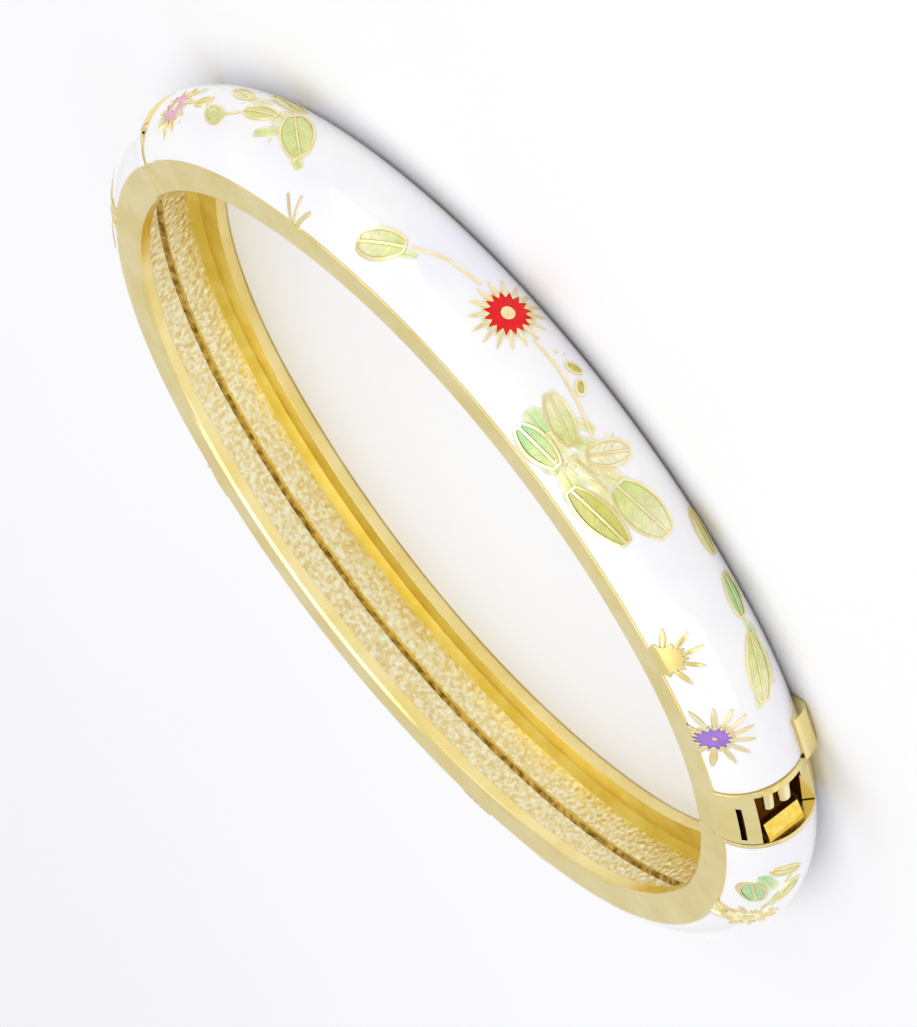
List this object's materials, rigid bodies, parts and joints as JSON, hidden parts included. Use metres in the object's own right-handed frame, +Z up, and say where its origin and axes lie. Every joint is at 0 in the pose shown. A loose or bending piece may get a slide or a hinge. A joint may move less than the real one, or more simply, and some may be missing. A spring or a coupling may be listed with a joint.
{
  "type": "hinged bangle",
  "caption": "Oval hinged bangle of cast gold-coloured metal with white enamel, enamelled flowers and leaves in raised gold lines, an open channel on the wrist side and a tab clasp.",
  "frame": {"origin": "Centre of the oval ring at the surface that it lies on.", "axes": "X runs along the oval's length from the hinge to the clasp, Y across it towards the half with the flowers, and Z up along the line that the wrist goes through."},
  "size_m": [0.071, 0.0631, 0.008],
  "materials": {
    "gold_metal": "bright cast and plated gold colour",
    "pin_metal": "plated steel wire",
    "white_enamel": "glossy enamel",
    "green_enamel": "glossy enamel",
    "red_enamel": "glossy enamel",
    "cream_enamel": "glossy enamel",
    "violet_enamel": "glossy enamel",
    "pink_enamel": "glossy enamel"
  },
  "bodies": {
    "lower_half": {"lower_shell": "gold_metal", "lower_enamel": "white_enamel", "lower_leaves": "green_enamel", "lower_petals": "cream_enamel", "hinge_pin": "pin_metal"},
    "upper_half": {"upper_shell": "gold_metal", "upper_enamel": "white_enamel", "upper_leaves": "green_enamel", "upper_red_petals": "red_enamel", "upper_violet_petals": "violet_enamel", "upper_pink_petals": "pink_enamel"},
    "clasp_slider": {"clasp_tab": "gold_metal"}
  },
  "joints": [
    {"name": "hinge", "type": "hinge", "parent": "lower_half", "child": "upper_half", "pos_m": [-0.03194, 0.00944, 0.004], "axis": [0, 0, 1], "range_deg": [0, 45]},
    {"name": "tab_press", "type": "slide", "parent": "upper_half", "child": "clasp_slider", "axis": [-0.8271, -0.5621, 0], "range_m": [0, 0.0005], "stiffness_N_per_m": 200}
  ]
}
